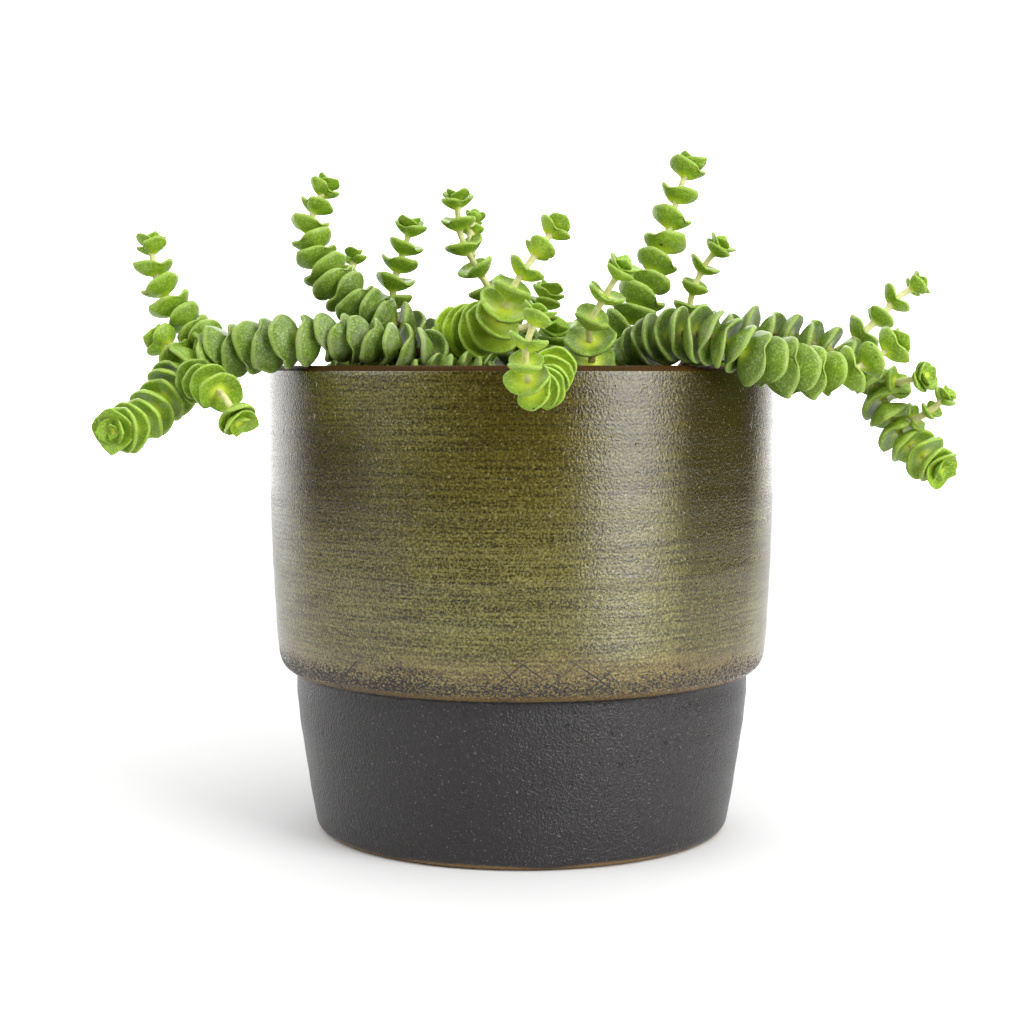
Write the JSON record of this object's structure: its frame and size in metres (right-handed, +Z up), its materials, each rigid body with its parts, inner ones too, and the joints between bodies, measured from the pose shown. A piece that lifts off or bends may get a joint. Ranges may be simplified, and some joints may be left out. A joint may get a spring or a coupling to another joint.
{
  "type": "potted jade necklace",
  "caption": "Succulent with fleshy leaf pairs stacked on trailing and rising stems, in soil in a round stepped ceramic pot.",
  "frame": {"origin": "the middle of the pot's flat base, on the surface that it stands on", "axes": "+Z up; the pictured front faces -Y, and +X is to the right of it"},
  "size_m": [0.2202, 0.189, 0.1857],
  "materials": {
    "glaze": "olive brown satin glazed stoneware, with a bare dark foot",
    "soil": "matt crumbly potting soil",
    "leaf_old": "waxy leaf, grey green",
    "leaf_mid": "waxy leaf, mid green",
    "leaf_young": "waxy leaf, yellow green"
  },
  "bodies": {
    "root": {"pot": "glaze", "soil": "soil", "stem_left_trailer": "leaf_old", "stem_left_riser": "leaf_old", "stem_thin_left": "leaf_mid", "stem_middle_back": "leaf_mid", "stem_front_fan": "leaf_young", "stem_over_rim": "leaf_young", "stem_front_right": "leaf_mid", "stem_tall": "leaf_mid", "stem_thin_right": "leaf_mid", "stem_right_front": "leaf_old", "stem_right_back": "leaf_old", "stem_back_1": "leaf_old", "stem_back_2": "leaf_mid", "stem_back_3": "leaf_old", "stem_back_4": "leaf_mid", "stem_inner_1": "leaf_old", "stem_inner_2": "leaf_mid", "stem_inner_3": "leaf_old", "stem_inner_4": "leaf_mid", "stem_inner_5": "leaf_mid", "stem_inner_6": "leaf_old"}
  },
  "joints": []
}
